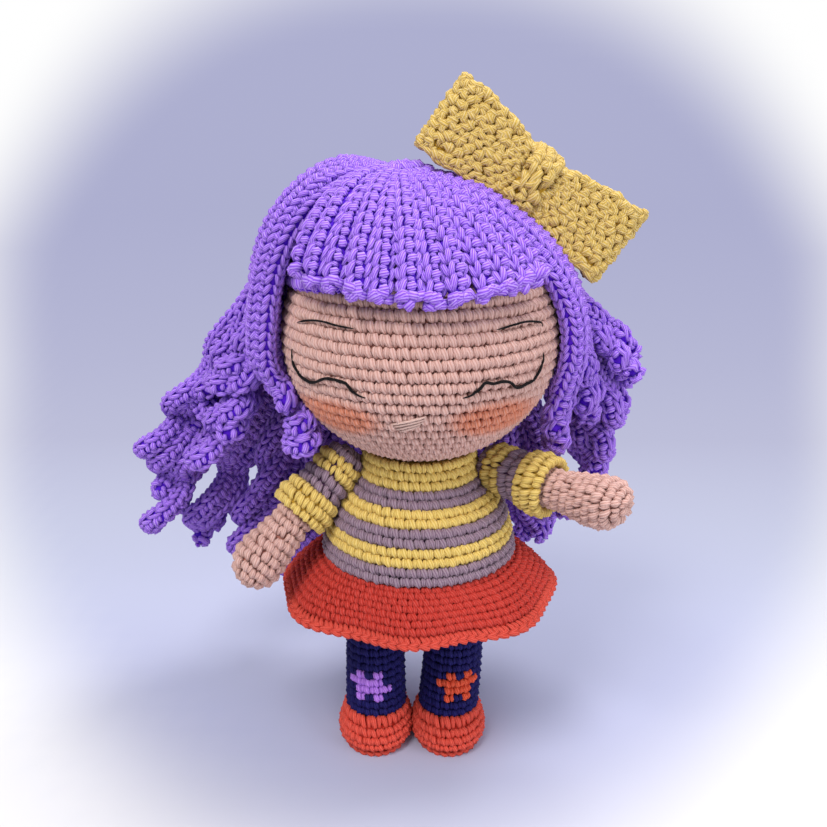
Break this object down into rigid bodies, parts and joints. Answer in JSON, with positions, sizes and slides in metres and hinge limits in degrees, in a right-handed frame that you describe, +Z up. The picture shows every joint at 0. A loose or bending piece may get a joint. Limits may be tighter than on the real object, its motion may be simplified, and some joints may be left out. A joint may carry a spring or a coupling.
{
  "type": "amigurumi doll",
  "caption": "Free-standing crocheted doll with strand hair, a bow, a striped sweater and a skirt; its head turns and each arm swings at the shoulder.",
  "frame": {"origin": "on the ground under the middle of the doll's bounding box; the doll's own upright axis stands at x 0.0109, y -0.0023, because the hair reaches further out on its right and back", "axes": "+Z up from the soles to the bow; the doll faces -Y, with its left hand towards +X"},
  "size_m": [0.1567, 0.0916, 0.2125],
  "materials": {
    "skin_yarn": "matte crocheted yarn",
    "hair_yarn": "matte crocheted yarn",
    "sweater_yarn": "matte crocheted yarn in stripes",
    "bow_yarn": "matte crocheted yarn",
    "skirt_yarn": "matte crocheted yarn",
    "legging_yarn": "matte crocheted yarn",
    "shoe_yarn": "matte crocheted yarn",
    "thread": "matte thread",
    "filling": "loose fibre",
    "insole_plastic": "matte",
    "dowel_wood": "plain"
  },
  "bodies": {
    "body": {"body_cover": "sweater_yarn", "body_filling": "filling", "neck_dowel": "dowel_wood", "skirt": "skirt_yarn", "right_legging": "legging_yarn", "right_leg_filling": "filling", "right_shoe": "shoe_yarn", "right_insole": "insole_plastic", "left_legging": "legging_yarn", "left_leg_filling": "filling", "left_shoe": "shoe_yarn", "left_insole": "insole_plastic"},
    "head": {"head_cover": "skin_yarn", "head_filling": "filling", "wig_cap": "hair_yarn", "fringe_1": "hair_yarn", "fringe_2": "hair_yarn", "fringe_3": "hair_yarn", "fringe_4": "hair_yarn", "fringe_5": "hair_yarn", "fringe_6": "hair_yarn", "right_lock_1": "hair_yarn", "right_lock_2": "hair_yarn", "right_lock_3": "hair_yarn", "right_lock_4": "hair_yarn", "right_lock_5": "hair_yarn", "right_lock_6": "hair_yarn", "right_lock_7": "hair_yarn", "right_lock_8": "hair_yarn", "left_lock_1": "hair_yarn", "left_lock_2": "hair_yarn", "left_lock_3": "hair_yarn", "left_lock_4": "hair_yarn", "left_lock_5": "hair_yarn", "left_lock_6": "hair_yarn", "left_lock_7": "hair_yarn", "left_lock_8": "hair_yarn", "back_lock_1": "hair_yarn", "back_lock_2": "hair_yarn", "back_lock_3": "hair_yarn", "back_lock_4": "hair_yarn", "back_lock_5": "hair_yarn", "bow_left_loop": "bow_yarn", "bow_right_loop": "bow_yarn", "bow_band": "bow_yarn", "right_eye_thread": "thread", "right_brow_thread": "thread", "left_eye_thread": "thread", "left_brow_thread": "thread", "nose_stitches": "skin_yarn"},
    "right_arm": {"right_sleeve": "sweater_yarn", "right_hand": "skin_yarn", "right_arm_filling": "filling"},
    "left_arm": {"left_sleeve": "sweater_yarn", "left_hand": "skin_yarn", "left_arm_filling": "filling"}
  },
  "joints": [
    {"name": "head_turn", "type": "hinge", "parent": "body", "child": "head", "pos_m": [0.0109, -0.0023, 0.103], "axis": [0, 0, 1], "range_deg": [-20, 20], "deforming": ["right_lock_1", "right_lock_2", "right_lock_3", "right_lock_4", "right_lock_5", "right_lock_6", "right_lock_7", "right_lock_8", "left_lock_1", "left_lock_2", "left_lock_3", "left_lock_4", "left_lock_5", "left_lock_6", "left_lock_7", "left_lock_8", "back_lock_1", "back_lock_2", "back_lock_3", "back_lock_4", "back_lock_5"]},
    {"name": "right_shoulder", "type": "hinge", "parent": "body", "child": "right_arm", "pos_m": [-0.0143, -0.0059, 0.0965], "axis": [-0.5, 0.866, 0], "range_deg": [-5, 50]},
    {"name": "left_shoulder", "type": "hinge", "parent": "body", "child": "left_arm", "pos_m": [0.0361, -0.0059, 0.0965], "axis": [-0.6428, -0.766, 0], "range_deg": [-43, 12]}
  ]
}
